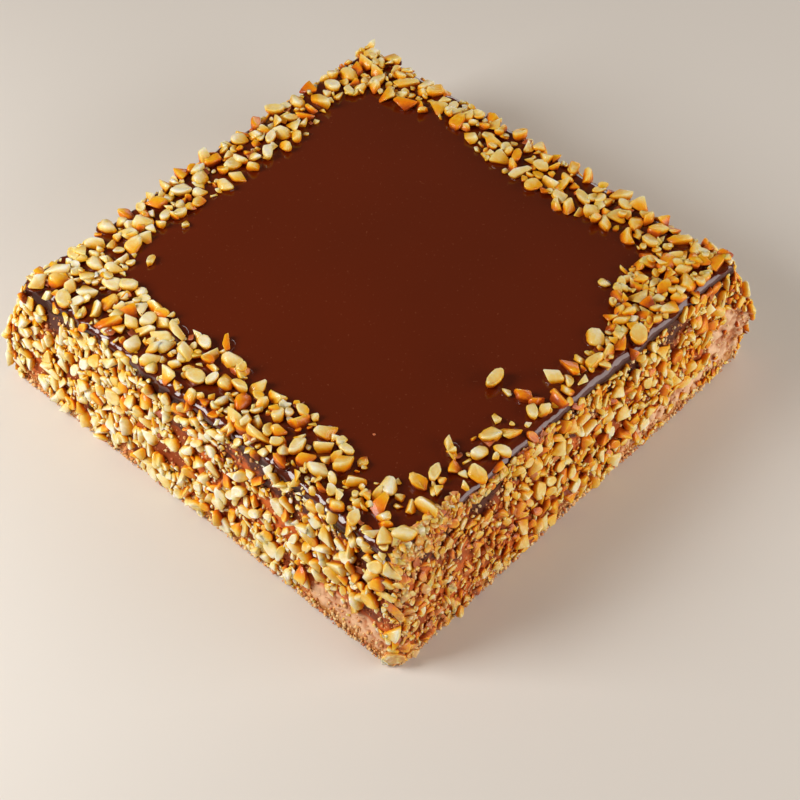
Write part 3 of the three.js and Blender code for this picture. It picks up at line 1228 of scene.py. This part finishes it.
def set_stops(ramp, stops):
    while len(ramp.elements) < len(stops):
        ramp.elements.new(1)
    for element, (position, colour) in zip(ramp.elements, stops):
        element.position = position
        element.color = colour


def srgb(red, green, blue):
    """A colour as a screen shows it, 0 to 255, in the linear values that shaders use."""
    shares = [channel / 255 for channel in (red, green, blue)]
    linear = [((c + 0.055) / 1.055) ** 2.4 if c > 0.04045 else c / 12.92 for c in shares]
    return (*linear, 1)


MOCHA = srgb(214, 108, 42)
DARK_MOCHA = srgb(146, 64, 24)
CREAM = srgb(243, 201, 160)
# Painted shade for the hollows of the torn cream
CREAM_HOLLOW_SHADE = srgb(190, 118, 74)
CARAMEL = srgb(206, 102, 46)
FOOT_CRUST = srgb(196, 132, 66)
FUDGE_SMEAR = srgb(84, 40, 28)
FUDGE = srgb(102, 29, 3)
DEEP_FUDGE = srgb(88, 25, 3)
# Painted shade for the fudge's rolled edge
FUDGE_EDGE_SHADE = srgb(56, 22, 12)
FUDGE_SPECK = srgb(150, 84, 56)
FROSTING_FILM = srgb(208, 138, 92)

# Colours from pale to dark
NUT_TONES = [
    (0, srgb(251, 245, 224)),
    (0.25, srgb(242, 217, 138)),
    (0.5, srgb(244, 182, 28)),
    (0.75, srgb(238, 130, 2)),
    (1, srgb(172, 70, 5)),
]
CRUMB_TONES = [
    (0, srgb(252, 224, 168)),
    (0.55, srgb(240, 180, 110)),
    (0.85, srgb(222, 146, 92)),
    (1, srgb(204, 116, 74)),
]
SKIN_TONES = [
    (0, srgb(214, 132, 66)),
    (0.5, srgb(182, 88, 36)),
    (1, srgb(116, 44, 22)),
]

# How far light reaches into a nut, in metres of red, green and blue
NUT_GLOW = (0.002, 0.0016, 0.0008)


def frosting_finish():
    """Mocha frosting in lighter and darker patches, smeared with fudge under the lip, crusted at the foot,
    and pale cream with spreading marks where it is bare, with painted shade darkening the hollows of its
    torn cream."""
    finish = Finish("mocha_frosting")
    marks = finish.noise(6, detail=4, roughness=0.6, stretch=(3, 3, 0.6))
    patches = finish.noise(14, detail=3)
    bare = finish.attribute("bare")
    mocha = finish.mix(finish.step(patches, 0.35, 0.65), MOCHA, DARK_MOCHA)
    # Painted shade: the torn cream is darker in its hollows than on its ridges
    ridge = finish.step(finish.attribute("high"), 0.2, 0.7)
    cream = finish.mix(ridge, CREAM_HOLLOW_SHADE, CREAM)
    smears = finish.noise(9, detail=3, roughness=0.6, stretch=(1.6, 1.6, 0.8))
    under_lip = finish.height_step(30, 56)
    smear = finish.step(smears + 0.34 * under_lip - 0.4 * bare, 0.56, 0.74)
    caramel = finish.mix(finish.step(bare, 0.05, 0.25), mocha, CARAMEL)
    base = finish.mix(finish.step(bare, 0.35, 0.8), caramel, cream)
    base = finish.mix(finish.height_step(8, 2), base, FOOT_CRUST)
    finish.set(Base_Color=finish.mix(smear, base, FUDGE_SMEAR))
    finish.set(Roughness=0.52 - 0.25 * smear, Specular_IOR_Level=0.25)
    finish.bump(marks * 0.6 + finish.noise(1.2) * 0.4, depth=0.7, strength=0.8)
    return finish.material


def fudge_finish():
    """Glossy dark fudge, with painted shade that darkens it down its rolled edge, slow changes of colour,
    faint ripples and specks, and a coat where it rolls over."""
    finish = Finish("glossy_fudge")
    top = finish.mix(finish.noise(70), FUDGE, DEEP_FUDGE)
    # Painted shade: darker down the edge, where the fudge turns down towards the skirt
    fudge = finish.mix(finish.height_step(57, 61.6), FUDGE_EDGE_SHADE, top)
    speck = finish.step(finish.noise(1.1, detail=1), 0.73, 0.77)
    finish.set(Base_Color=finish.mix(speck * 0.35, fudge, FUDGE_SPECK))
    finish.set(Roughness=0.14 + 0.1 * finish.noise(25), IOR=1.2)
    finish.set(Coat_Weight=finish.height_step(57.5, 59.2), Coat_IOR=1.5, Coat_Roughness=0.08)
    finish.bump(finish.noise(18), depth=0.12, strength=0.5)
    return finish.material


def nut_finish():
    """Roasted peanut: glossy and golden outside, paler where it is broken, with painted shade that turns it
    orange and brown where it is sunk, and with frosting smeared on some."""
    finish = Finish("roasted_peanut")
    tone = finish.attribute("tone")
    broken = finish.attribute("break")
    depth = finish.attribute("depth")
    mottle = finish.noise(2.2, detail=3, roughness=0.6)
    # The depth term is painted shade: each nut turns orange and brown towards its sunk base
    shade = tone + 0.4 * (mottle - 0.5) + 1.05 * depth - 0.14 * broken
    film = finish.attribute("film") * finish.step(mottle, 0.3, 0.6)
    finish.set(Base_Color=finish.mix(film, finish.ramp(shade, NUT_TONES), FROSTING_FILM))
    finish.set(Roughness=0.28 + 0.14 * broken + 0.1 * mottle, Specular_IOR_Level=0.22)
    finish.set(Coat_Weight=0.35, Coat_Roughness=0.06)
    finish.set(Subsurface_Weight=0.6, Subsurface_Radius=NUT_GLOW, Subsurface_Scale=1)
    finish.bump(finish.noise(0.9), depth=0.06, strength=0.4)
    return finish.material


def crumb_finish():
    """Matt crumbs, from pale nut to brown."""
    finish = Finish("nut_crumb")
    tone = finish.attribute("tone") + 0.2 * (finish.noise(1) - 0.5)
    finish.set(Base_Color=finish.ramp(tone, CRUMB_TONES))
    finish.set(Roughness=0.6 + 0.1 * finish.noise(0.8, detail=1), Specular_IOR_Level=0.25)
    return finish.material


def skin_finish():
    """Satin skin, from tan to red-brown."""
    finish = Finish("peanut_skin")
    tone = finish.attribute("tone") + 0.5 * (finish.noise(1.5, detail=3) - 0.5)
    finish.set(Base_Color=finish.ramp(tone, SKIN_TONES))
    finish.set(Roughness=0.38 + 0.15 * finish.noise(0.8, detail=1))
    return finish.material


# The cake

frosting = frosting_body(frosting_finish())
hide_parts("frosted_cake")
fudge = fudge_finish()
glaze = fudge_glaze(fudge)
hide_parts("fudge_topping")

peanut = nut_finish()
nut_forms = {
    "half_kernels": make_forms(kernel_form, KERNEL_SEED),
    "nut_chunks": make_forms(chunk_form, CHUNK_SEED),
    "nut_slivers": make_forms(sliver_form, SLIVER_SEED),
}
top_nuts = scatter(TOP_NUTS, propose_on_top, strays=STRAY_NUTS)
top_nuts += scatter(FAR_NUTS, propose_on_far_top, others=top_nuts)
lip_nuts = scatter(LIP_NUTS, propose_on_lip) + scatter(CORNER_NUTS, propose_by_corner)
lip_nuts.append(STANDING_SLIVER)
side_nuts = scatter(SIDE_NUTS, propose_on_side)
joined_copies("fudge_rims", rim_copies(top_nuts), fudge)
for place_name, nuts in (("top", top_nuts + lip_nuts), ("side", side_nuts)):
    for kind, copies in nut_copies(nuts, nut_forms).items():
        joined_copies(f"{place_name}_{kind}", copies, peanut)
bit_kinds = nut_copies(scatter(SIDE_BITS, propose_bit, others=side_nuts), nut_forms)
joined_copies("side_nut_bits", sum(bit_kinds.values(), []), peanut)
skins = scatter(TOP_SKINS, propose_on_top) + scatter(SIDE_SKINS, propose_on_side)
joined_copies("peanut_skins", skin_copies(skins), skin_finish())
joined_copies("nut_crumbs", crumb_copies(), crumb_finish())

# Studio, in metres and watts

FLOOR_SIZE = 16
FLOOR_COLOUR = (0.80, 0.77, 0.73, 1)
FLOOR_ROUGHNESS = 0.7
CAMERA_YAW = math.radians(-41.99)
CAMERA_PITCH = math.radians(49.53)
CAMERA_ROLL = math.radians(-0.65)
CAMERA_PLACE = Vector((0.4036, -0.4346, 0.6660))
CAMERA_LENS = 83.57
CAMERA_SENSOR = 36
CAMERA_CLIP = 0.01
ROOM_COLOUR = (1, 0.72, 0.45, 1)
ROOM_STRENGTH = 0.15

# Softboxes that face the cake: name, place, width, height, power and colour
LIGHT_AIM = Vector((0, 0, 0.03))
SOFTBOXES = [
    ("key", (-0.38, -0.58, 0.51), 0.4, 0.4, 6.4, (1, 0.98, 0.95)),
    ("right_panel", (1.05, 0.40, 0.42), 1.2, 0.7, 10, (1, 0.98, 0.96)),
    ("back_panel", (-0.35, 1.25, 0.30), 1.2, 0.4, 4, (1, 1, 1)),
]


def studio_floor():
    bm = bmesh.new()
    bmesh.ops.create_grid(bm, x_segments=1, y_segments=1, size=FLOOR_SIZE / 2)
    floor = add_object("floor", mesh_of("floor", bm))
    finish = Finish("pale_floor")
    finish.set(Base_Color=FLOOR_COLOUR, Roughness=FLOOR_ROUGHNESS)
    floor.data.materials.append(finish.material)


def studio_light():
    for name, place, width, height, power, colour in SOFTBOXES:
        light = bpy.data.lights.new(name, "AREA")
        light.shape = "RECTANGLE"
        light.size = width
        light.size_y = height
        light.energy = power
        light.color = colour
        lamp = add_object(name, light)
        lamp.location = place
        lamp.rotation_euler = (LIGHT_AIM - Vector(place)).to_track_quat("-Z", "Y").to_euler()
    world = bpy.data.worlds.new("studio")
    world.use_nodes = True
    background = world.node_tree.nodes["Background"]
    background.inputs["Color"].default_value = ROOM_COLOUR
    background.inputs["Strength"].default_value = ROOM_STRENGTH
    bpy.context.scene.world = world
    bpy.context.scene.view_settings.view_transform = "Standard"


def photo_camera():
    """A camera at the photo's angle: turned to its yaw, tipped down by its pitch, and rolled."""
    camera = add_object("camera", bpy.data.cameras.new("camera"))
    camera.data.lens = CAMERA_LENS
    camera.data.sensor_width = CAMERA_SENSOR
    camera.data.clip_start = CAMERA_CLIP
    turn = Matrix.Rotation(-CAMERA_YAW, 4, "Z")
    tip = Matrix.Rotation(math.pi / 2 - CAMERA_PITCH, 4, "X")
    roll = Matrix.Rotation(-CAMERA_ROLL, 4, "Z")
    camera.matrix_world = Matrix.Translation(CAMERA_PLACE) @ turn @ tip @ roll
    bpy.context.scene.camera = camera


studio_floor()
studio_light()
photo_camera()
